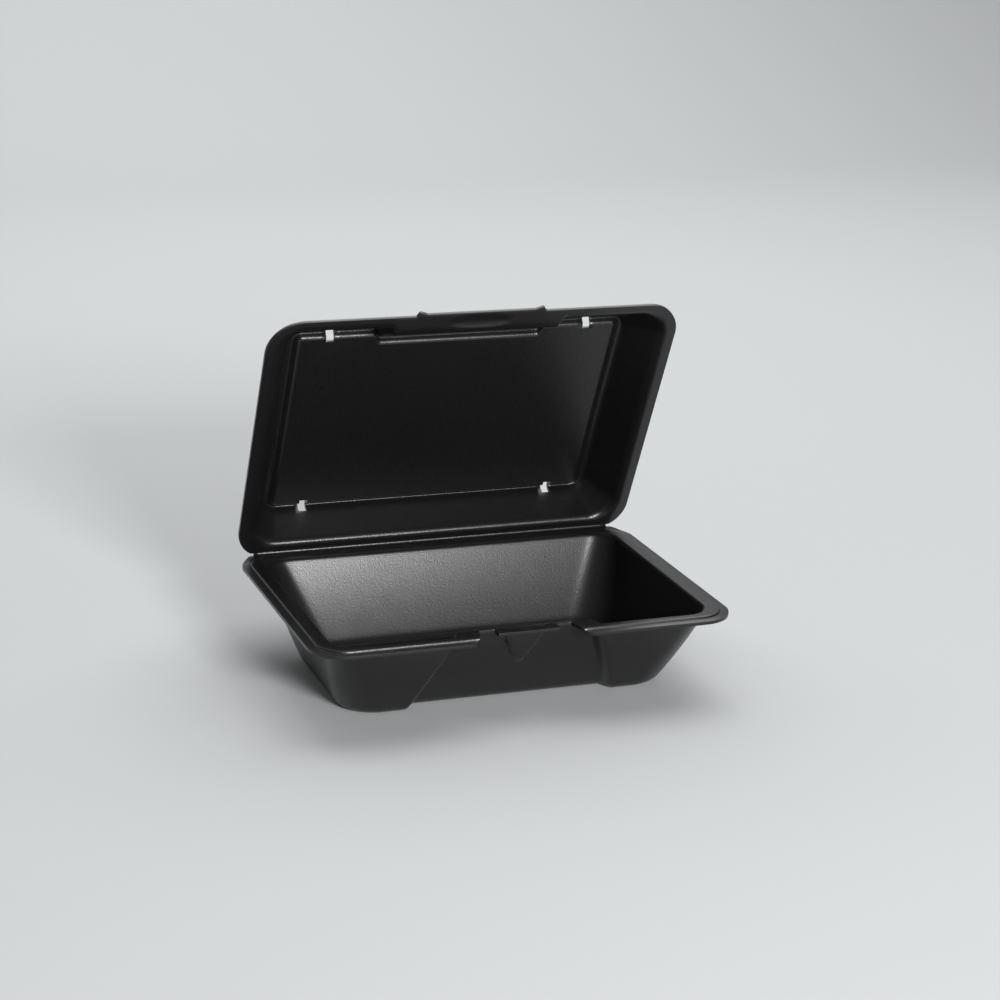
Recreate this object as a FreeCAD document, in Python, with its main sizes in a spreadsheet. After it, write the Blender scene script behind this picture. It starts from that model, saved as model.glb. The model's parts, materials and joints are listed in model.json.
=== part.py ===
"""Foam clamshell food box, the hinged take-away kind: a deep base tray and a shallow lid.

The real box is one sheet of black polystyrene foam, thermoformed into tray and lid with a pressed
crease between them. The tray and the lid are the two pieces that move, so each is a solid here, and
each carries its own half of the crease. Every wall is an outer form minus an inner form.

Millimetres. The origin is the centre of the tray's underside, X runs along the box, Y points at the
hinge and Z is up. The lid is modelled shut, with its hinge axis on its own X axis, and is then turned
open about that axis.
"""
import FreeCAD, Part
import math
import os
import Sketcher

SIZES = {
    "box_length": (233.4, "over the rims, end to end"),
    "box_width": (164, "from the front edge of the rims to the hinge axis"),
    "foam": (2.2, "thickness of the foam sheet"),
    "rim_foam": (1.8, "thickness of the foam in the rims, where it is pressed a little"),
    "closing_gap": (0.3, "between the shut rims, and between the two halves of the crease"),
    "rim_corner": (20, "corner radius of both rims in plan"),
    "hinge_trim": (3, "how far the rims' corner curves would run on past the hinge"),
    "crease_width": (1, "each side of the hinge axis"),
    "crease_foam": (0.6, "thickness of the foam where it is pressed to fold"),
    "lid_opening": (64.7, "degrees from shut to the pose in which the box is shown"),
    "base_height": (48.5, "underside of the tray to the plane where the rims meet"),
    "end_rim": (10.3, "width of the tray's rim at its ends, from outer edge to wall"),
    "front_rim": (8, "the same at the front"),
    "back_rim": (8.5, "the same at the back, measured from the hinge axis"),
    "lip_width": (4.6, "outer lip of the tray's rim"),
    "lip_drop": (1.2, "how far the lip lies below the ledge"),
    "lip_foam": (1.2, "thickness of the lip"),
    "base_wall_corner": (14, "corner radius of the tray's wall at the rim"),
    "floor_length": (182, "tray underside, end to end"),
    "floor_width": (98, "tray underside, front to back"),
    "floor_corner": (21, "corner radius of the tray's underside"),
    "floor_edge": (3.5, "radius between underside and wall"),
    "edge_round": (1.2, "rounding where a wall turns out into its rim"),
    "recess_depth": (7.5, "how far the middle of the front wall is set back"),
    "recess_top": (73, "width of that set-back panel at the rim"),
    "recess_bottom": (114, "width of that panel at the underside"),
    "recess_slant": (1.5, "how much the panel's side steps lean"),
    "rib_setback": (3, "how far the V-shaped rib's face lies behind the front wall"),
    "rib_width": (26, "the rib under the latch tab, at the rim"),
    "rib_foot": (24, "height of the rib's point above the underside"),
    "rib_point": (2, "width of the rib at its point"),
    "tab_width": (34, "latch tab left between the two notches"),
    "tab_setback": (9, "how far the tab's front edge lies behind the rim's"),
    "notch_width": (8, "each notch where it meets the wall"),
    "notch_shoulder": (12.5, "the same, halfway out to the rim's edge"),
    "notch_mouth": (18, "the same at the rim's edge"),
    "lid_end_rim": (7.5, "width of the lid's rim at its ends"),
    "lid_front_rim": (5.5, "the same at the front"),
    "lid_back_rim": (7, "width of the lid's rim at the hinge"),
    "lid_wall_corner": (15, "corner radius of the lid's wall at the rim"),
    "lid_depth": (23, "rim plane to the lid's inner panel"),
    "groove_depth": (3, "stacking groove round the panel, below the panel"),
    "lid_end_draft": (11.7, "how far the lid's end walls lean in, down to the groove"),
    "lid_back_draft": (4.3, "the same for the wall beside the hinge"),
    "lid_front_draft": (20.7, "the same for the front wall"),
    "lid_panel_corner": (9, "corner radius of the walls at the groove"),
    "end_groove": (3.3, "width of the groove's floor at the ends of the panel"),
    "end_groove_slope": (3.2, "run of the groove's slope up to the panel at the ends"),
    "long_groove": (1.6, "width of the groove's floor along the front and back"),
    "long_groove_slope": (1.2, "run of the groove's slope along the front and back"),
    "latch_width": (92, "set-back middle of the lid's front wall"),
    "latch_flange": (11.4, "width of the rim in that middle"),
    "latch_shift": (5.7, "how far the wall and the panel are set back at the groove"),
    "latch_slant": (3, "how much the side steps lean"),
    "lip_tab_width": (72, "pull tab on the lid's front edge, over its two ears"),
    "lip_tab_reach": (1.2, "how far the pull tab stands out"),
    "ear_width": (5, "each ear of the pull tab"),
    "ear_reach": (2.6, "how far an ear stands out"),
    "ear_lean": (1.5, "how much an ear's outer side leans in"),
    "thumb_width": (34, "thumb hollow in the pull tab"),
    "thumb_height": (8, "the same hollow, across the tab"),
    "thumb_depth": (0.9, "the same hollow, into the foam"),
    "vent_spacing": (148, "between the two vents in a row"),
    "vent_width": (4.6, "steam vent, along the box"),
    "vent_reach": (6, "how far a vent runs in from the foot of the wall, across the groove"),
    "vent_drop": (5.5, "how far a vent runs up the wall from the groove's floor"),
}

doc = FreeCAD.newDocument("FoamClamshell")
sizes = doc.addObject("Spreadsheet::Sheet", "Sizes")
for row, (alias, (value, meaning)) in enumerate(SIZES.items(), start=1):
    sizes.set(f"A{row}", alias)
    sizes.set(f"B{row}", str(value))
    sizes.set(f"C{row}", meaning)
    sizes.setAlias(f"B{row}", alias)
doc.recompute()

PLAN = FreeCAD.Rotation()
FRONT_VIEW = FreeCAD.Rotation(FreeCAD.Vector(1, 0, 0), 90)


def bound(expression):
    """Writes the sheet's names out in full inside an expression."""
    words = expression.split()
    return " ".join(f"Sizes.{word}" if word in SIZES else word for word in words)


def measure(expression):
    """The present value of an expression."""
    return float(sizes.evalExpression(bound(expression)))


def place(thing, x="0", y="0", z="0", rotation=PLAN):
    """Turns a thing and ties its position to the sheet."""
    thing.Placement = FreeCAD.Placement(FreeCAD.Vector(0, 0, 0), rotation)
    for axis, expression in (("x", x), ("y", y), ("z", z)):
        if expression != "0":
            thing.setExpression(f".Placement.Base.{axis}", bound(expression))


def tie(sketch, kind, where, expression):
    """Adds a dimension to a sketch and ties it to the sheet."""
    index = sketch.addConstraint(Sketcher.Constraint(kind, *where, measure(expression)))
    sketch.setExpression(f"Constraints[{index}]", bound(expression))


def polygon(name, points, x="0", y="0", z="0", rotation=PLAN):
    """A closed outline of straight lines whose corners are all tied to the sheet."""
    sketch = doc.addObject("Sketcher::SketchObject", name)
    place(sketch, x, y, z, rotation)
    corners = [FreeCAD.Vector(measure(across), measure(up), 0) for across, up in points]
    count = len(corners)
    for index in range(count):
        sketch.addGeometry(Part.LineSegment(corners[index], corners[(index + 1) % count]))
    for index in range(count):
        sketch.addConstraint(Sketcher.Constraint("Coincident", index, 2, (index + 1) % count, 1))
    for index, (across, up) in enumerate(points):
        tie(sketch, "DistanceX", (-1, 1, index, 1), across)
        tie(sketch, "DistanceY", (-1, 1, index, 1), up)
    return sketch


def rounded(name, half_length, front, back, radius, y="0", z="0"):
    """A rectangle with round corners: four lines and four equal arcs, tangent all the way round."""
    sketch = doc.addObject("Sketcher::SketchObject", name)
    place(sketch, y=y, z=z)
    right = measure(half_length)
    near = -measure(front)
    far = measure(back)
    bend = measure(radius)
    vector = FreeCAD.Vector
    turns = (-90, 0, 90, 180)
    centres = (
        vector(right - bend, near + bend, 0),
        vector(right - bend, far - bend, 0),
        vector(-right + bend, far - bend, 0),
        vector(-right + bend, near + bend, 0),
    )
    arcs = []
    for centre, turn in zip(centres, turns):
        circle = Part.Circle(centre, vector(0, 0, 1), bend)
        start = math.radians(turn)
        arcs.append(Part.ArcOfCircle(circle, start, start + math.pi / 2))
    for index, arc in enumerate(arcs):
        previous = arcs[index - 1]
        sketch.addGeometry(Part.LineSegment(previous.EndPoint, arc.StartPoint))
        sketch.addGeometry(arc)
    for index in range(8):
        sketch.addConstraint(Sketcher.Constraint("Tangent", index, 2, (index + 1) % 8, 1))
    for index in (0, 4):
        sketch.addConstraint(Sketcher.Constraint("Horizontal", index))
    for index in (2, 6):
        sketch.addConstraint(Sketcher.Constraint("Vertical", index))
    for index in (3, 5, 7):
        sketch.addConstraint(Sketcher.Constraint("Equal", 1, index))
    tie(sketch, "Radius", (1,), radius)
    tie(sketch, "DistanceX", (-1, 1, 2, 1), half_length)
    tie(sketch, "DistanceX", (6, 1, -1, 1), half_length)
    tie(sketch, "DistanceY", (0, 1, -1, 1), front)
    tie(sketch, "DistanceY", (-1, 1, 4, 1), back)
    return sketch


def loft(name, *sections):
    """A solid with straight walls from each section to the next."""
    solid = doc.addObject("Part::Loft", name)
    solid.Sections = list(sections)
    solid.Solid = True
    solid.Ruled = True
    return solid


def extrude(name, sketch, length, direction=(0, 0, 1)):
    """A prism on a sketch."""
    solid = doc.addObject("Part::Extrusion", name)
    solid.Base = sketch
    solid.DirMode = "Custom"
    solid.Dir = FreeCAD.Vector(*direction)
    solid.Solid = True
    solid.setExpression("LengthFwd", bound(length))
    return solid


def cut(name, base, tool):
    """Base without tool."""
    solid = doc.addObject("Part::Cut", name)
    solid.Base = base
    solid.Tool = tool
    return solid


def fuse(name, *solids):
    """One solid of several that overlap."""
    solid = doc.addObject("Part::MultiFuse", name)
    solid.Shapes = list(solids)
    solid.Refine = False
    return solid


def round_level(name, base, level, radius):
    """Rounds the edges of a form that lie flat at one height."""
    doc.recompute()
    height = measure(level)
    flat = []
    for index, edge in enumerate(base.Shape.Edges, start=1):
        if max(abs(edge.BoundBox.ZMin - height), abs(edge.BoundBox.ZMax - height)) < 0.001:
            flat.append((index, measure(radius), measure(radius)))
    solid = doc.addObject("Part::Fillet", name)
    solid.Base = base
    solid.Edges = flat
    return solid


# The rims: both follow one outline, which the hinge cuts off at the back.

half_length = "box_length / 2"
half_width = "box_width / 2"
beyond_hinge = "box_width / 2 + hinge_trim"


def rim_plate(name, inset, low, thickness, y="0"):
    """A flat band of rim, inset from the outline and trimmed where the crease begins."""
    outline = rounded(
        name + "_outline",
        f"{half_length} - {inset}",
        f"{half_width} - {inset}",
        beyond_hinge,
        f"rim_corner - {inset}",
        y=y,
        z=low,
    )
    plate = extrude(name + "_plate", outline, thickness)
    past = doc.addObject("Part::Box", name + "_past_hinge")
    past.setExpression("Length", bound("box_length"))
    past.setExpression("Width", bound("box_width"))
    past.setExpression("Height", bound("box_width"))
    place(past, x="0 - box_length / 2", y=f"{y} + {half_width} - crease_width", z=f"{low} - {half_width}")
    return cut(name, plate, past)


def crease_strip(name, low, y):
    """This half of the pressed crease, from the rim to just short of the hinge axis."""
    overlap = "4 * crease_width"
    strip = doc.addObject("Part::Box", name)
    crease_half = f"{half_length} - rim_corner / 2"
    strip.setExpression("Length", bound(f"2 * ( {crease_half} )"))
    strip.setExpression("Width", bound(f"{overlap} - closing_gap / 2"))
    strip.setExpression("Height", bound("crease_foam"))
    place(strip, x=f"0 - ( {crease_half} )", y=f"{y} + {half_width} - {overlap}", z=low)
    return strip


# The recess in the middle of the tray's front wall, with the V-shaped rib left standing in it.

floor_front = "floor_width / 2"
wall_front = "box_width / 2 - front_rim"


def set_back(name, depth, grow, lift):
    """A block in front of a plane that lies behind the front wall by depth, from foot to rim."""
    def section(suffix, width, wall, height):
        near_half = f"{width} / 2 - recess_slant + {grow}"
        far_half = f"{width} / 2 + {grow} + recess_slant * 4"
        near = f"0 - ( {wall} ) + {depth} + {grow}"
        far = f"0 - ( {wall} ) - recess_depth * 4"
        return polygon(
            f"{name}_{suffix}",
            [
                (f"0 - ( {near_half} )", near),
                (near_half, near),
                (far_half, far),
                (f"0 - ( {far_half} )", far),
            ],
            z=height,
        )

    foot = section("foot", "recess_bottom", floor_front, lift)
    top = section("top", "recess_top", wall_front, "base_height")
    return loft(name, foot, top)


def front_recess(name, grow, lift):
    """What the recess takes out of a form; grow and lift move it on by the foam's thickness."""
    shrink = f"{grow} * ( base_height - rib_foot ) * 2 / rib_width"
    rib_half = f"( rib_width / 2 - {grow} )"
    rib_outline = polygon(
        name + "_rib_outline",
        [
            ("0 - rib_point / 2", f"rib_foot + {shrink}"),
            ("rib_point / 2", f"rib_foot + {shrink}"),
            (rib_half, "base_height"),
            (rib_half, "base_height + foam"),
            (f"0 - {rib_half}", "base_height + foam"),
            (f"0 - {rib_half}", "base_height"),
        ],
        rotation=FRONT_VIEW,
    )
    rib = extrude(name + "_rib", rib_outline, "box_width", direction=(0, -1, 0))
    beside_rib = cut(name + "_beside_rib", set_back(name + "_deep", "recess_depth", grow, lift), rib)
    return fuse(name, beside_rib, set_back(name + "_shallow", "rib_setback", grow, lift))


# Base tray: a drafted tub with a stepped rim, notched each side of the latch tab.

ledge_top = "base_height - closing_gap / 2"
outer_low = rounded("tray_floor_outline", "floor_length / 2", floor_front, floor_front, "floor_corner")
outer_high = rounded(
    "tray_wall_outline",
    f"{half_length} - end_rim",
    wall_front,
    f"{half_width} - back_rim",
    "base_wall_corner",
    z=ledge_top,
)
tub = round_level("tray_tub", loft("tray_tub_sharp", outer_low, outer_high), "0", "floor_edge")
tub_recessed = cut("tray_tub_recessed", tub, front_recess("tray_recess", "0", "0"))

inner_low = rounded(
    "hollow_floor_outline",
    "floor_length / 2 - foam / 2",
    f"{floor_front} - foam / 2",
    f"{floor_front} - foam / 2",
    "floor_corner - foam / 2",
    z="foam",
)
inner_high = rounded(
    "hollow_wall_outline",
    f"{half_length} - end_rim - foam",
    f"{wall_front} - foam",
    f"{half_width} - back_rim - foam",
    "base_wall_corner - foam / 2",
    z=f"{ledge_top} - edge_round",
)
inner_mouth = rounded(
    "hollow_mouth_outline",
    f"{half_length} - end_rim - foam + edge_round",
    f"{wall_front} - foam + edge_round",
    f"{half_width} - back_rim - foam + edge_round",
    "base_wall_corner",
    z=ledge_top,
)
hollow_sharp = loft("hollow_sharp", inner_low, inner_high, inner_mouth)
hollow = round_level("hollow", hollow_sharp, "foam", "floor_edge")
hollow_recessed = cut("hollow_recessed", hollow, front_recess("hollow_recess", "foam", "foam"))

ledge = rim_plate("ledge", "lip_width", f"{ledge_top} - rim_foam", "rim_foam")
lip_low = f"{ledge_top} - lip_drop - lip_foam"
lip = rim_plate("lip", "0", lip_low, "lip_foam")

# The rim is cut back round the latch tab: a notch each side, flared out to the rim's edge.
notch_root = f"( {wall_front} - recess_depth - foam )"
notch_points = (
    ("tab_width / 2", f"( {half_width} - tab_setback )"),
    ("tab_width / 2", notch_root),
    ("( tab_width / 2 + notch_width )", notch_root),
    ("( tab_width / 2 + notch_shoulder )", f"( {half_width} - front_rim / 2 )"),
    ("( tab_width / 2 + notch_mouth )", f"( {half_width} + foam )"),
)
right_side = [(across, f"0 - {out}") for across, out in notch_points]
left_side = [(f"0 - {across}", out) for across, out in reversed(right_side)]
latch_cut_outline = polygon("latch_cut_outline", right_side + left_side, z=f"{lip_low} - lip_foam")
latch_cut = extrude("latch_cut", latch_cut_outline, "lip_foam * 2 + lip_drop + rim_foam")
rim_notched = cut("rim_notched", fuse("rim_full", ledge, lip), latch_cut)
tray_crease = crease_strip("tray_crease", f"{ledge_top} - crease_foam", "0")
tray_solid = fuse("tray_filled", tub_recessed, rim_notched, tray_crease)
base_tray = cut("base_tray", tray_solid, hollow_recessed)
base_tray.Label = "base_tray"

# Lid: a shallow cover in its own frame. Its middle lies half the box's width in front of the hinge.

lid_middle = "0 - box_width / 2"
lid_low = "closing_gap / 2"
lid_deep = "lid_depth + groove_depth"


def lid_outline(name, offset, along, level):
    """The lid's wall in plan; along runs from 0 at the rim to 1 at the floor of the groove."""
    return rounded(
        name,
        f"{half_length} - lid_end_rim - lid_end_draft * {along} + {offset}",
        f"{half_width} - lid_front_rim - lid_front_draft * {along} + {offset}",
        f"{half_width} - lid_back_rim - lid_back_draft * {along} + {offset}",
        f"lid_wall_corner + ( lid_panel_corner - lid_wall_corner ) * {along} + {offset}",
        y=lid_middle,
        z=level,
    )


def latch_recess(name, grow):
    """The set-back middle of the lid's front wall, as the volume that it takes out of a form."""
    def section(suffix, wall, level):
        behind = f"0 - ( {wall} ) + {grow}"
        beyond = f"0 - ( {wall} ) - latch_flange"
        inner_half = f"latch_width / 2 + {grow}"
        spread = f"latch_width / 2 + {grow} + latch_slant * 5"
        return polygon(
            f"{name}_{suffix}",
            [
                (f"0 - ( {inner_half} )", behind),
                (inner_half, behind),
                (spread, beyond),
                (f"0 - ( {spread} )", beyond),
            ],
            y=lid_middle,
            z=level,
        )

    at_rim = f"{half_width} - latch_flange"
    at_groove = f"{half_width} - lid_front_rim - lid_front_draft - latch_shift"
    return loft(
        name,
        section("rim", at_rim, "0"),
        section("groove", at_groove, lid_deep),
        section("above", at_groove, f"{lid_deep} + foam"),
    )


cover_sharp = loft(
    "cover_sharp",
    lid_outline("cover_low_outline", "foam", "0", lid_low),
    lid_outline("cover_high_outline", "foam / 2", "1", f"{lid_deep} + foam"),
)
cover = round_level("cover", cover_sharp, f"{lid_deep} + foam", "floor_edge / 2")

cavity_full = loft(
    "cavity_full",
    lid_outline("cavity_mouth_outline", "edge_round", "0", "0"),
    lid_outline("cavity_low_outline", "0", f"edge_round / ( {lid_deep} )", "edge_round"),
    lid_outline("cavity_high_outline", "0", "1", lid_deep),
)


def panel(name, grow, lift):
    """The raised panel inside the groove, as a block; grow and lift give the outside of the same."""
    def section(suffix, ends, long_sides, level):
        side = f"{half_length} - lid_end_rim - lid_end_draft - {ends} + {grow}"
        front = f"{half_width} - lid_front_rim - lid_front_draft - {long_sides} + {grow}"
        back = f"{half_width} - lid_back_rim - lid_back_draft - {long_sides} + {grow}"
        step = f"latch_width / 2 + {long_sides} - {grow}"
        return polygon(
            f"{name}_{suffix}",
            [
                (f"0 - ( {side} )", back),
                (f"0 - ( {side} )", f"0 - ( {front} )"),
                (f"0 - ( {step} ) - latch_slant", f"0 - ( {front} )"),
                (f"0 - ( {step} )", f"0 - ( {front} ) + latch_shift"),
                (step, f"0 - ( {front} ) + latch_shift"),
                (f"{step} + latch_slant", f"0 - ( {front} )"),
                (side, f"0 - ( {front} )"),
                (side, back),
            ],
            y=lid_middle,
            z=f"{level} + {lift}",
        )

    end_foot = "end_groove"
    end_top = "( end_groove + end_groove_slope )"
    long_foot = "long_groove"
    long_top = "( long_groove + long_groove_slope )"
    return loft(
        name,
        section("top", end_top, long_top, "lid_depth"),
        section("foot", end_foot, long_foot, lid_deep),
        section("above", end_foot, long_foot, f"{lid_deep} + foam"),
    )


cavity_grooved = cut("cavity_grooved", cavity_full, panel("panel_inside", "0", "0"))
cavity = cut("cavity", cavity_grooved, latch_recess("latch_inside", "0"))
cover_grooved = cut("cover_grooved", cover, panel("panel_outside", "( 0 - foam / 2 )", "foam"))
cover_latched = cut("cover_latched", cover_grooved, latch_recess("latch_outside", "( 0 - foam )"))

lid_rim = rim_plate("lid_rim_band", "0", lid_low, "rim_foam", y=lid_middle)
lid_crease = crease_strip("lid_crease", lid_low, lid_middle)

tab_front = f"0 - {half_width} - lip_tab_reach"
ear_front = f"0 - {half_width} - ear_reach"
tab_half = "lip_tab_width / 2"
pull_tab_outline = polygon(
    "pull_tab_outline",
    [
        (f"0 - {tab_half}", "0"),
        (tab_half, "0"),
        (tab_half, f"0 - {half_width}"),
        (f"{tab_half} - ear_lean", ear_front),
        (f"{tab_half} - ear_width", tab_front),
        (f"0 - {tab_half} + ear_width", tab_front),
        (f"0 - {tab_half} + ear_lean", ear_front),
        (f"0 - {tab_half}", f"0 - {half_width}"),
    ],
    y=lid_middle,
    z=lid_low,
)
pull_tab = extrude("pull_tab", pull_tab_outline, "rim_foam")

thumb = doc.addObject("Part::Ellipsoid", "thumb_hollow")
thumb.setExpression("Radius1", bound("thumb_depth"))
thumb.setExpression("Radius2", bound("thumb_width / 2"))
thumb.setExpression("Radius3", bound("thumb_height / 2"))
place(thumb, y=f"0 - box_width + thumb_height / 2 + lip_tab_reach", z=lid_low)

lid_filled = fuse("lid_filled", cover_latched, lid_rim, pull_tab, lid_crease)
lid_hollow = cut("lid_hollow", lid_filled, cavity)
lid_open_below = cut("lid_thumbed", lid_hollow, thumb)


def vent(name, side, wall_foot):
    """One punched steam vent: through the panel's edge, the groove and the foot of the wall."""
    box = doc.addObject("Part::Box", name)
    box.setExpression("Length", bound("vent_width"))
    box.setExpression("Width", bound("vent_reach * 2"))
    box.setExpression("Height", bound("vent_drop + foam * 2"))
    place(
        box,
        x=f"{side} * vent_spacing / 2 - vent_width / 2",
        y=f"0 - ( {wall_foot} ) - vent_reach",
        z=f"{lid_deep} - vent_drop",
    )
    return box


back_foot = "lid_back_rim + lid_back_draft"
front_foot = "box_width - lid_front_rim - lid_front_draft"
vents = fuse(
    "vents",
    vent("vent_back_left", "-1", back_foot),
    vent("vent_back_right", "1", back_foot),
    vent("vent_front_left", "-1", front_foot),
    vent("vent_front_right", "1", front_foot),
)
lid = cut("lid", lid_open_below, vents)
lid.Label = "lid"
lid.Placement.Rotation = FreeCAD.Rotation(FreeCAD.Vector(-1, 0, 0), measure("lid_opening"))
lid.setExpression(".Placement.Rotation.Angle", bound("lid_opening * 1 deg"))
lid.setExpression(".Placement.Base.y", bound(half_width))
lid.setExpression(".Placement.Base.z", bound("base_height"))

doc.recompute()
for thing in doc.Objects:
    if "Invalid" in thing.State or "Error" in thing.State:
        raise RuntimeError(f"{thing.Name} failed: {thing.State}")
os.makedirs("parts", exist_ok=True)
for piece in (base_tray, lid):
    if piece.Shape.isNull() or not piece.Shape.isValid() or len(piece.Shape.Solids) != 1:
        raise RuntimeError(f"{piece.Label} is not one valid solid")
    print(piece.Label, "volume", round(piece.Shape.Volume), "mm3", piece.Shape.BoundBox)
for piece in (base_tray, lid):
    piece.Shape.exportStep(f"parts/{piece.Label}.step")
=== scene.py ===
"""The looks of a black foam clamshell food box, standing open on a pale sweep of paper.

Sizes are in millimetres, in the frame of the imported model, and become metres when a mesh is made.
"""
import json
import math

import bpy
import numpy as np
from mathutils import Matrix, Vector


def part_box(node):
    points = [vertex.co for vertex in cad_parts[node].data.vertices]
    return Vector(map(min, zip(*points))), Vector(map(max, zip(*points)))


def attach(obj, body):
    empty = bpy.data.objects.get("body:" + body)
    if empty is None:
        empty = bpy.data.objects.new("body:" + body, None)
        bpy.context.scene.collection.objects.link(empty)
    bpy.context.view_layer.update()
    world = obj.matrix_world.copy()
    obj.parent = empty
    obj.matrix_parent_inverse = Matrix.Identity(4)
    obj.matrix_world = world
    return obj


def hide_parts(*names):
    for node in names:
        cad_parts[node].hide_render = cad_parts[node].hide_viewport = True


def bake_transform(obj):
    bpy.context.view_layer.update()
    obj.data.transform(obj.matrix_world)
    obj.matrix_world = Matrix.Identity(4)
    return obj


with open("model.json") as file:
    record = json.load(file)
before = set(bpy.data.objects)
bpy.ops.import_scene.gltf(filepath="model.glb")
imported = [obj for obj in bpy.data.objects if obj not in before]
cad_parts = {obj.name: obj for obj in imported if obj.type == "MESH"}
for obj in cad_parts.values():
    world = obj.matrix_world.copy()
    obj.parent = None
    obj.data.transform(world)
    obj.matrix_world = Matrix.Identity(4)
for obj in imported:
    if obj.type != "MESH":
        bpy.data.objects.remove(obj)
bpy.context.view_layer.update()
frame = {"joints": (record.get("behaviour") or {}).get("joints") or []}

# The camera: a long lens low in front of the box and a little to its left, rolled slightly, as the
# photograph was taken.
camera_place = (-433.2, -1167.7, 481.3)
camera_turn = 20.73
camera_dip = 17.13
camera_roll = 1.89
lens_ratio = 2.42

turn = math.radians(camera_turn)
dip = math.radians(camera_dip)
ahead = Vector((math.sin(turn) * math.cos(dip), math.cos(turn) * math.cos(dip), -math.sin(dip)))
level_right = Vector((math.cos(turn), -math.sin(turn), 0))
rolled = Matrix.Rotation(math.radians(-camera_roll), 3, ahead)
right = rolled @ level_right
up = right.cross(ahead)
camera_data = bpy.data.cameras.new("camera")
camera_data.sensor_width = 36
camera_data.lens = lens_ratio * camera_data.sensor_width
camera_data.clip_end = 50
camera = bpy.data.objects.new("camera", camera_data)
camera.matrix_world = Matrix.Translation(Vector(camera_place) / 1000) @ Matrix(
    (
        (right.x, up.x, -ahead.x),
        (right.y, up.y, -ahead.y),
        (right.z, up.z, -ahead.z),
    )
).to_4x4()
bpy.context.scene.collection.objects.link(camera)
bpy.context.scene.camera = camera
bpy.context.scene.view_settings.view_transform = "Standard"

# The base tray: a deep tub drawn from black polystyrene foam sheet, with a lower lip round its
# rim. The middle of its front wall is set back, with a V-shaped rib under the latch tab, and the
# rim is cut away beside the tab.


def foam_material(name, seed):
    """Black foam. Fine cells and finer grain roughen the skin, the grain also varies its colour a
    little, and a broad noise varies its sheen a little."""
    material = bpy.data.materials.new(name)
    material.use_nodes = True
    nodes = material.node_tree.nodes
    links = material.node_tree.links
    shader = nodes["Principled BSDF"]
    shader.inputs["IOR"].default_value = 1.5
    where = nodes.new("ShaderNodeTexCoord")
    place = nodes.new("ShaderNodeMapping")
    place.inputs["Location"].default_value = (seed, seed, seed)
    links.new(where.outputs["Object"], place.inputs["Vector"])

    cells = nodes.new("ShaderNodeTexVoronoi")
    cells.feature = "SMOOTH_F1"
    cells.inputs["Scale"].default_value = 1600
    cells.inputs["Smoothness"].default_value = 0.5
    links.new(place.outputs["Vector"], cells.inputs["Vector"])
    grain = nodes.new("ShaderNodeTexNoise")
    grain.inputs["Scale"].default_value = 1900
    grain.inputs["Detail"].default_value = 2
    links.new(place.outputs["Vector"], grain.inputs["Vector"])
    skin = nodes.new("ShaderNodeMath")
    skin.operation = "SUBTRACT"
    links.new(grain.outputs["Fac"], skin.inputs[0])
    links.new(cells.outputs["Distance"], skin.inputs[1])
    bump = nodes.new("ShaderNodeBump")
    bump.inputs["Strength"].default_value = 0.5
    bump.inputs["Distance"].default_value = 0.00009
    links.new(skin.outputs["Value"], bump.inputs["Height"])
    links.new(bump.outputs["Normal"], shader.inputs["Normal"])

    mottle = nodes.new("ShaderNodeTexNoise")
    mottle.inputs["Scale"].default_value = 60
    mottle.inputs["Detail"].default_value = 5
    links.new(place.outputs["Vector"], mottle.inputs["Vector"])
    tone = nodes.new("ShaderNodeValToRGB")
    tone.color_ramp.elements[0].position = 0.3
    tone.color_ramp.elements[0].color = (0.0046, 0.0044, 0.0050, 1)
    tone.color_ramp.elements[1].position = 0.7
    tone.color_ramp.elements[1].color = (0.0080, 0.0077, 0.0085, 1)
    links.new(grain.outputs["Fac"], tone.inputs["Fac"])
    links.new(tone.outputs["Color"], shader.inputs["Base Color"])
    sheen = nodes.new("ShaderNodeMapRange")
    sheen.inputs["From Min"].default_value = 0.3
    sheen.inputs["From Max"].default_value = 0.7
    sheen.inputs["To Min"].default_value = 0.285
    sheen.inputs["To Max"].default_value = 0.305
    links.new(mottle.outputs["Fac"], sheen.inputs["Value"])
    links.new(sheen.outputs["Result"], shader.inputs["Roughness"])
    return material


foam = 1.8
low, high = (np.array(corner) * 1000 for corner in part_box("base_tray"))
hinge = frame["joints"][0]
hinge_y = hinge["pos_m"][1] * 1000
hinge_z = hinge["pos_m"][2] * 1000
half_length = high[0]
front_edge = -low[1]
tray_top = high[2]
crease_gap = 1
crease_start = hinge_y - crease_gap
crease_inset = 0.4

rim_corner = 20
hinge_trim = 3
hinge_blend = 6
lip_width = 4.6
lip_drop = 1.2
bead_width = 2.2
bead_slope = 0.35
bead_round = 0.25
wall_half = half_length - 12.5
wall_front = front_edge - 10.2
wall_back = hinge_y - 10.7
wall_corner = 13
floor_half = 89.9
floor_front = 47.9
floor_corner = 19.9
flat_inset = 12
flat_corner = 8
recess_depth = 7.5
recess_top = 38.5
recess_foot = 57.5
recess_step = 3.5
wall_belly = 1.2
rib_half = 10.8
rib_point = 1
rib_foot = 28
rib_proud = 4.5
rib_side = 1.8
rib_run = 6
tab_half = 17
tab_edge = 73
tab_insets = (0, 1, 2, 3.2)
notch_half = 25
notch_flare = 8
notch_reach = 40
notch_shares = (1, 0.52, 0.47, 0.38)


def smooth_step(value):
    """Rises from 0 to 1 as value does, level at both ends."""
    value = np.clip(value, 0, 1)
    return value * value * (3 - 2 * value)


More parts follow.
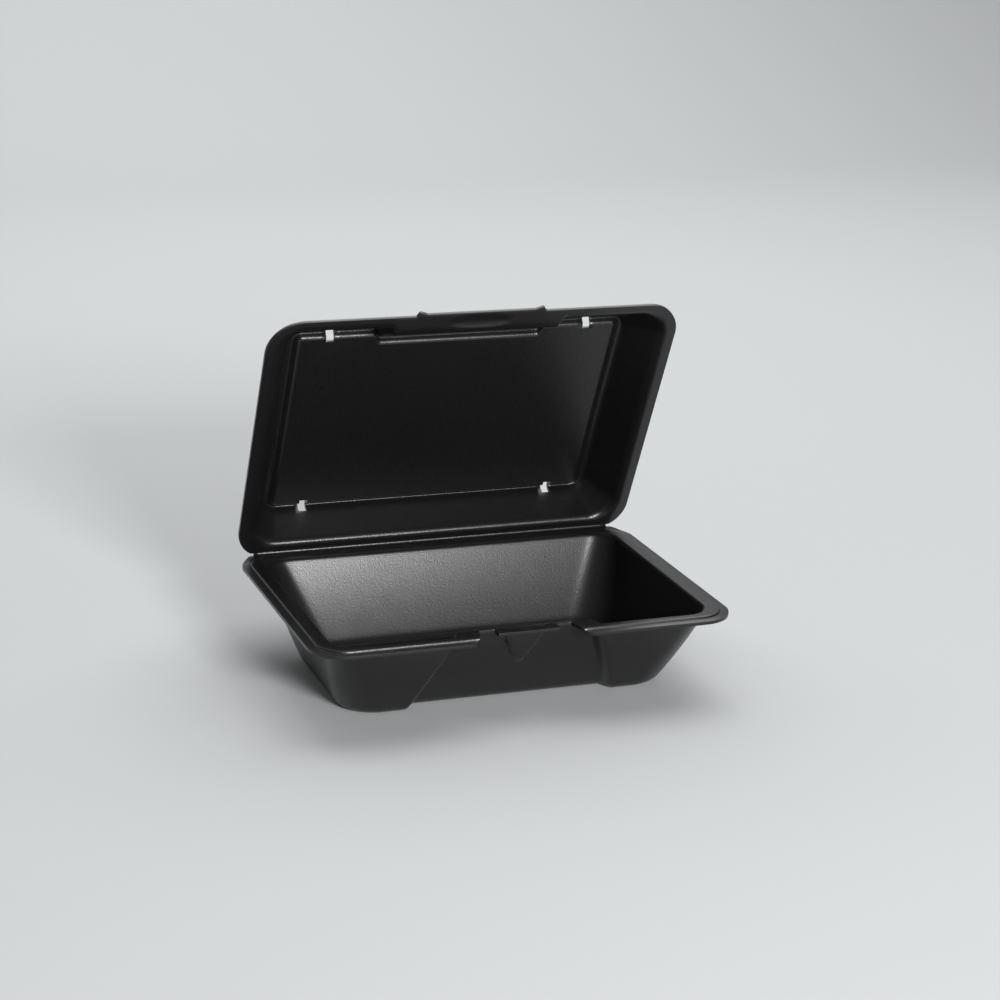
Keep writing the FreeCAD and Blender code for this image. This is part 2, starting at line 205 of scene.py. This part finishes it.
def round_columns(front, back, side, corner):
    """The columns of a ring, anticlockwise from the middle of the front: each is a point of the
    square from -1 to 1 that the round corners' centres make, and the direction away from it there.
    front and back are the shares along those sides, side and corner the steps in the others."""
    angles = np.linspace(0, np.pi / 2, corner + 2)[1:-1]
    shares = np.linspace(-1, 1, side)

    def arc(x, y, start):
        turned = angles + start
        return np.stack([np.full(corner, x), np.full(corner, y), np.cos(turned), np.sin(turned)])

    def straight(x, y, out_x, out_y):
        x, y, out_x, out_y = np.broadcast_arrays(x, y, out_x, out_y)
        return np.stack([x, y, out_x, out_y]).astype(float)

    return np.concatenate(
        [
            straight(front, -1, 0, -1),
            arc(1, -1, -np.pi / 2),
            straight(1, shares, 1, 0),
            arc(1, 1, 0),
            straight(-back, 1, 0, 1),
            arc(-1, 1, np.pi / 2),
            straight(-1, -shares, -1, 0),
            arc(-1, -1, np.pi),
        ],
        axis=1,
    )


def ring(columns, half, front, back, corner, level):
    """A rectangle with round corners, at one height, as a point for each column."""
    square_x, square_y, out_x, out_y = columns
    middle = (back - front) / 2
    depth = (back + front) / 2 - corner
    x = square_x * (half - corner) + out_x * corner
    y = middle + square_y * depth + out_y * corner
    return np.stack([x, y, np.full_like(x, level)], axis=1)


def rounded_profile(corners, reach, bend_steps, run_steps):
    """Straight runs through the corners with each inner corner rounded: a parabola that begins and
    ends at reach from it. Corners are arrays of points, one for each column of a ring."""
    stations = [corners[0]]
    bends = []
    for before, here, after, length in zip(corners, corners[1:], corners[2:], reach):
        back_run = before - here
        next_run = after - here
        back_length = np.linalg.norm(back_run, axis=1, keepdims=True)
        next_length = np.linalg.norm(next_run, axis=1, keepdims=True)
        enter = here + back_run * np.minimum(0.49, length / np.maximum(back_length, 1e-6))
        leave = here + next_run * np.minimum(0.49, length / np.maximum(next_length, 1e-6))
        bends.append((enter, here, leave))
    previous = corners[0]
    for (enter, here, leave), bend, run in zip(bends, bend_steps, run_steps):
        for share in np.linspace(0, 1, run + 1)[1:]:
            stations.append(previous + (enter - previous) * share)
        for share in np.linspace(0, 1, bend + 1)[1:]:
            stations.append(
                enter * (1 - share) ** 2 + here * 2 * share * (1 - share) + leave * share**2
            )
        previous = leave
    for share in np.linspace(0, 1, run_steps[-1] + 1)[1:]:
        stations.append(previous + (corners[-1] - previous) * share)
    return np.array(stations)


def ring_faces(stations, columns, left_out):
    """Faces between neighbouring stations and columns, apart from those left out, and one flat
    face in the middle."""
    station, column = np.meshgrid(np.arange(stations - 1), np.arange(columns), indexing="ij")
    beside = (column + 1) % columns
    quads = np.stack(
        [
            station * columns + column,
            station * columns + beside,
            (station + 1) * columns + beside,
            (station + 1) * columns + column,
        ],
        axis=-1,
    )
    faces = quads[~left_out].tolist()
    faces.append((np.arange(columns) + (stations - 1) * columns).tolist())
    return faces


def foam_piece(name, points, faces, thickness, material, eased=True):
    """A sheet of foam: the surface that shows, thickened away from it, and its cut edges eased."""
    mesh = bpy.data.meshes.new(name)
    mesh.from_pydata((points.reshape(-1, 3) / 1000).tolist(), [], faces)
    mesh.materials.append(material)
    mesh.validate()
    piece = bpy.data.objects.new(name, mesh)
    bpy.context.scene.collection.objects.link(piece)
    mesh.polygons.foreach_set("use_smooth", np.ones(len(mesh.polygons), bool))
    sheet = piece.modifiers.new("sheet", "SOLIDIFY")
    sheet.thickness = thickness / 1000
    sheet.offset = -1
    sheet.use_even_offset = True
    if eased:
        edge = piece.modifiers.new("edge", "BEVEL")
        edge.limit_method = "ANGLE"
        edge.angle_limit = math.radians(70)
        edge.width = 0.00035
        edge.segments = 2
    return piece


def spread(along, last, end, stretch=1):
    """Distances along a straight side: up to last they are only stretched, and beyond it they run
    evenly to the side's end."""
    beyond = (along - last) / (along.max() - last)
    start = last * stretch
    return np.where(along <= last, along * stretch, start + beyond * (end - start))


tab_columns = np.concatenate([np.linspace(0, 16, 20), [17, 19, 21, 23, 25, 28, 31, 34]])
step_columns = np.linspace(36.5, 40.5, 8)
half_row = np.concatenate([tab_columns, step_columns, np.linspace(43, 91, 16)])
row = np.concatenate([-half_row[:0:-1], half_row])
along = np.abs(row)
back_steps = 44
end_steps = 20
corner_steps = 14
columns = round_columns(
    row / row.max(), np.linspace(-1, 1, back_steps), end_steps, corner_steps
)
front = slice(0, len(row))
set_back = recess_depth * (1 - smooth_step((along - recess_top + recess_step / 2) / recess_step))
tray_floor = foam


def rim_line(inset, level):
    """A line round the tray's rim, inset from its outer edge."""
    return ring(
        columns,
        half_length - inset,
        front_edge - inset,
        hinge_y + hinge_trim - inset,
        rim_corner - inset,
        level,
    )


lip_outer = rim_line(0, tray_top - lip_drop)
lip_inner = rim_line(lip_width, tray_top - lip_drop)
bead_side = rim_line(lip_width + bead_slope, tray_top - bead_round)
bead_top = rim_line(lip_width + bead_width, tray_top)
wall_top = ring(columns, wall_half, wall_front, wall_back, wall_corner, tray_top)
wall_foot = ring(columns, floor_half, floor_front, floor_front, floor_corner, tray_floor)
flat_half = floor_half - flat_inset
flat_front = floor_front - flat_inset
floor_inner = ring(columns, flat_half, flat_front, flat_front, flat_corner, tray_floor)

for band, foot in ((wall_top, recess_top), (wall_foot, recess_foot), (floor_inner, recess_foot)):
    end = np.abs(band[front, 0]).max()
    band[front, 0] = np.sign(row) * spread(along, step_columns[-1], end, foot / recess_top)
    band[front, 1] += set_back

on_tab = along <= tab_half
flare = np.clip(1 - (along - notch_half) / notch_reach, 0, 1)
flare[along < notch_half] = 0
rim_bands = (lip_outer, lip_inner, bead_side, bead_top)
for band, share, inset in zip(rim_bands, notch_shares, tab_insets):
    band[front, 0] = wall_top[front, 0] + np.sign(row) * flare * notch_flare * share
    band[front, 1] = np.where(on_tab, inset - tab_edge, band[front, 1])
    band[front, 2] = np.where(on_tab, tray_top, band[front, 2])
    near_hinge = smooth_step((band[:, 1] - crease_start + hinge_blend) / hinge_blend)
    band[:, 2] += (tray_top - band[:, 2]) * near_hinge
    band[:, 1] = np.minimum(band[:, 1], crease_start - inset * crease_inset)

bend_steps = (2, 3, 4, 8, 7)
run_steps = (1, 1, 1, 3, 30, 2)
tray_points = rounded_profile(
    [lip_outer, lip_inner, bead_side, bead_top, wall_top, wall_foot, floor_inner],
    (0.12, 0.2, 1.1, 2.4, 4.5),
    bend_steps,
    run_steps,
)
bend_start = sum(run_steps[:4]) + sum(bend_steps[:3])
height = tray_points[:, :, 2]
up_wall = np.clip((height - tray_floor) / (tray_top - lip_drop - tray_floor), 0, 1)
belly = wall_belly * 4 * up_wall * (1 - up_wall)
tray_points[:, :, 0] += belly * columns[2]
tray_points[:, :, 1] += belly * columns[3]
rib_share = np.clip((height - rib_foot) / (tray_top - rib_foot), 0, 1)
rib_width = rib_point + (rib_half - rib_point) * rib_share
rib = 1 - smooth_step((np.abs(tray_points[:, :, 0]) - rib_width + rib_side / 3) / rib_side)
rib *= smooth_step((height - rib_foot + 2) / 3)
fade = np.clip((tray_points[:, :, 1] + tab_edge) / rib_run, 0, 1)
in_front = np.zeros(columns.shape[1], bool)
in_front[front] = True
tray_points[:, :, 1] -= rib_proud * rib * fade * in_front

station, column = np.meshgrid(
    np.arange(len(tray_points) - 1), np.arange(columns.shape[1]), indexing="ij"
)
middles = (along[:-1] + along[1:]) / 2
beside_tab = np.zeros(columns.shape[1], bool)
beside_tab[: len(middles)] = (middles > tab_half) & (middles < notch_half)
notches = beside_tab[column] & (station < bend_start)
tray = foam_piece(
    "tray_shell",
    tray_points,
    ring_faces(len(tray_points), columns.shape[1], notches),
    foam,
    foam_material("tray_foam", 0.0),
)
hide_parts("base_tray")
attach(tray, "base")

# The lid: shallower, from the same sheet. A groove runs round its raised panel, the middle of its
# front wall is set back behind a wide flange, and that flange ends in a pull tab with two ears.
opened = math.radians(-hinge["range_deg"][0])
lid_rim_level = 0.15
lid_width = front_edge + hinge_y
groove_level = 26
panel_level = 23
lid_wall_half = half_length - 7.5
lid_wall_front = lid_width - 5.5
lid_wall_back = 7
lid_wall_corner = 15
foot_half = half_length - 19.2
foot_front = lid_width - 26.2
foot_back = 11.3
foot_corner = 9
end_groove = 3.3
end_slope = 3.2
long_groove = 1.3
long_slope = 1.9
panel_corner = 1.8
latch_half = 47.5
latch_flange = 11.4
latch_shift = 5.7
latch_slant = 4
pull_half = 36
pull_reach = 1.2
ear_reach = 2.6
vent_middle = 74
vent_half = 2.3
vent_panel = 6
vent_wall = 5.5
thumb_half = 17
thumb_rise = 4
thumb_middle = 158.8
thumb_depth = 0.9

latch_columns = np.concatenate([np.linspace(0, 28, 18), np.linspace(30, 38, 14), [40, 42, 44]])
latch_steps = np.linspace(45, 50, 9)
vent_columns = np.array([54, 59, 64, 68, vent_middle - vent_half, vent_middle + vent_half, 79, 84])
half_row = np.concatenate([latch_columns, latch_steps, vent_columns, [88.5]])
row = np.concatenate([-half_row[:0:-1], half_row])
along = np.abs(row)
lid_end_steps = 24
lid_columns = round_columns(row / row.max(), row / row.max(), lid_end_steps, corner_steps)
back_start = len(row) + 2 * corner_steps + lid_end_steps
front = slice(0, len(row))
back = slice(back_start, back_start + len(row))


def lid_ring(half, front_reach, back_reach, corner, level):
    """A ring of the lid, in the lid's own frame: x along, y back to the hinge axis, z deeper."""
    return ring(lid_columns, half, front_reach, -back_reach, corner, level)


lid_edge = lid_ring(half_length, lid_width, -hinge_trim, rim_corner, lid_rim_level)
lid_wall_top = lid_ring(
    lid_wall_half, lid_wall_front, lid_wall_back, lid_wall_corner, lid_rim_level
)
lid_foot = lid_ring(foot_half, foot_front, foot_back, foot_corner, groove_level)
panel_foot = lid_ring(
    foot_half - end_groove,
    foot_front - long_groove,
    foot_back + long_groove,
    panel_corner + end_slope,
    groove_level,
)
panel_edge = lid_ring(
    foot_half - end_groove - end_slope,
    foot_front - long_groove - long_slope,
    foot_back + long_groove + long_slope,
    panel_corner,
    panel_level,
)
panel_inner = lid_ring(
    foot_half - foot_corner - 1, foot_front - vent_panel, foot_back + vent_panel, 0.5, panel_level
)

lid_bands = (lid_edge, lid_wall_top, lid_foot, panel_foot, panel_edge, panel_inner)
for band in lid_bands:
    for side in (front, back):
        end = np.abs(band[side, 0]).max()
        band[side, 0] = np.sign(band[side, 0]) * spread(along, 84, end)
ear = np.interp(along - pull_half, [-5.5, -1.5, -0.8, 0.2], [0, 1, 1, 0])
pull = np.interp(along - pull_half, [-0.8, 0.4], [1, 0])
lid_edge[front, 1] -= pull * pull_reach + ear * (ear_reach - pull_reach)
latched = 1 - smooth_step((along - latch_half + latch_slant / 2) / latch_slant)
lid_wall_top[front, 1] += latched * (latch_flange - (lid_width - lid_wall_front))
for band in (lid_foot, panel_foot, panel_edge, panel_inner):
    band[front, 1] += latched * latch_shift
lid_edge[:, 1] = np.minimum(lid_edge[:, 1], -crease_gap)

bend_steps = (9, 4, 3, 6)
run_steps = (5, 14, 1, 1, 6)
lid_points = rounded_profile(
    [lid_edge, lid_wall_top, lid_foot, panel_foot, panel_edge, panel_inner],
    (4.2, 1.6, 0.8, 1.7),
    bend_steps,
    run_steps,
)
hollow_x = lid_points[:, :, 0] / thumb_half
hollow_y = (lid_points[:, :, 1] + thumb_middle) / thumb_rise
hollow = np.clip(1 - hollow_x**2 - hollow_y**2, 0, 1)
on_rim = np.arange(len(lid_points))[:, None] < run_steps[0] + 2
lid_points[:, :, 2] += thumb_depth * np.sqrt(hollow) * on_rim

station, column = np.meshgrid(
    np.arange(len(lid_points) - 1), np.arange(lid_columns.shape[1]), indexing="ij"
)
middles = (along[:-1] + along[1:]) / 2
slotted = np.abs(middles - vent_middle) < vent_half
at_vent = np.zeros(lid_columns.shape[1], bool)
at_vent[: len(middles)] = slotted
at_vent[back.start : back.start + len(middles)] = slotted
middle_height = lid_points[:, :, 2].mean(axis=1)
vents = at_vent[column] & (middle_height[:-1, None] > groove_level - vent_wall)[station[:, 0]]

out_y = np.cos(opened)
out_z = np.sin(opened)
turned = np.empty_like(lid_points)
turned[:, :, 0] = lid_points[:, :, 0]
turned[:, :, 1] = hinge_y + lid_points[:, :, 1] * out_y + lid_points[:, :, 2] * out_z
turned[:, :, 2] = hinge_z - lid_points[:, :, 1] * out_z + lid_points[:, :, 2] * out_y
lid_faces = [face[::-1] for face in ring_faces(len(turned), lid_columns.shape[1], vents)]
lid = foam_piece("lid_shell", turned, lid_faces, foam, foam_material("lid_foam", 0.31))
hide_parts("lid")
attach(lid, "lid")

# The crease: the line where the sheet is pressed thin between the two rims, so that it folds.
# It is one continuous strip that bends between tray and lid.
crease_half = half_length - 10
crease_thin = 0.6
crease_steps = 14
crease_columns = 60
crease_reach = 2
crease_depth = 0.35
lid_side_rise = 0.5

share = np.linspace(0, 1, crease_steps)[:, None]
tray_side = np.array([hinge_y - crease_reach, tray_top - crease_depth])
fold = np.array([hinge_y, hinge_z - 0.1])
lid_side = np.array(
    [
        hinge_y - crease_reach * out_y + lid_side_rise * out_z,
        hinge_z + crease_reach * out_z + lid_side_rise * out_y,
    ]
)
line = tray_side * (1 - share) ** 2 + fold * 2 * share * (1 - share) + lid_side * share**2
across_x = np.linspace(-crease_half, crease_half, crease_columns)
crease_points = np.empty((crease_steps, len(across_x), 3))
crease_points[:, :, 0] = across_x
crease_points[:, :, 1] = line[:, :1]
crease_points[:, :, 2] = line[:, 1:]
row, place = np.meshgrid(np.arange(crease_steps - 1), np.arange(len(across_x) - 1), indexing="ij")
corner = row * len(across_x) + place
crease_faces = np.stack(
    [corner, corner + 1, corner + len(across_x) + 1, corner + len(across_x)], axis=-1
).reshape(-1, 4)
crease = foam_piece(
    "crease",
    crease_points,
    crease_faces.tolist(),
    crease_thin,
    foam_material("crease_foam", 0.57),
    eased=False,
)
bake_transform(crease)

# The studio: a sweep of pale grey paper that curves up behind the box, and large soft lamps.
sweep_half = 6000
sweep_front = -6000
sweep_back = 1500
sweep_bend = 900
sweep_height = 3500
sweep_colour = (0.45, 0.461, 0.466, 1)

angle = np.linspace(0, np.pi / 2, 24)
curve_y = sweep_back + sweep_bend * np.sin(angle)
profile_y = np.concatenate([[sweep_front], curve_y, [sweep_back + sweep_bend]])
profile_z = np.concatenate([[0], sweep_bend * (1 - np.cos(angle)), [sweep_height]])
count = len(profile_y)
sweep_points = np.empty((count, 2, 3))
sweep_points[:, :, 0] = (-sweep_half, sweep_half)
sweep_points[:, :, 1] = profile_y[:, None]
sweep_points[:, :, 2] = profile_z[:, None]
sweep_mesh = bpy.data.meshes.new("paper_sweep")
sweep_mesh.from_pydata(
    (sweep_points.reshape(-1, 3) / 1000).tolist(),
    [],
    [(2 * step, 2 * step + 1, 2 * step + 3, 2 * step + 2) for step in range(count - 1)],
)
sweep_mesh.polygons.foreach_set("use_smooth", np.ones(count - 1, bool))
paper = bpy.data.materials.new("grey_paper")
paper.use_nodes = True
matt = paper.node_tree.nodes["Principled BSDF"]
matt.inputs["Base Color"].default_value = sweep_colour
matt.inputs["Roughness"].default_value = 0.9
matt.inputs["Specular IOR Level"].default_value = 0.1
sweep_mesh.materials.append(paper)
sweep = bpy.data.objects.new("paper_sweep", sweep_mesh)
bpy.context.scene.collection.objects.link(sweep)


def soft_lamp(name, place, aim, width, height, power):
    """A rectangular soft box, in millimetres, turned to face a point."""
    data = bpy.data.lights.new(name, "AREA")
    data.shape = "RECTANGLE"
    data.size = width / 1000
    data.size_y = height / 1000
    data.energy = power
    lamp = bpy.data.objects.new(name, data)
    facing = (Vector(aim) - Vector(place)).to_track_quat("-Z", "Y")
    lamp.matrix_world = Matrix.Translation(Vector(place) / 1000) @ facing.to_matrix().to_4x4()
    bpy.context.scene.collection.objects.link(lamp)


soft_lamp("front_box", (150, -2060, 840), (0, 0, 60), 600, 350, 62)
soft_lamp("top_box", (450, 650, 1850), (0, 0, 60), 2000, 1800, 36)
soft_lamp("back_box", (0, 1700, 1900), (0, 1700, 0), 3200, 1400, 27)

world = bpy.data.worlds.new("studio")
world.use_nodes = True
air = world.node_tree.nodes["Background"]
air.inputs["Color"].default_value = (0.92, 0.94, 0.95, 1)
air.inputs["Strength"].default_value = 0.15
bpy.context.scene.world = world
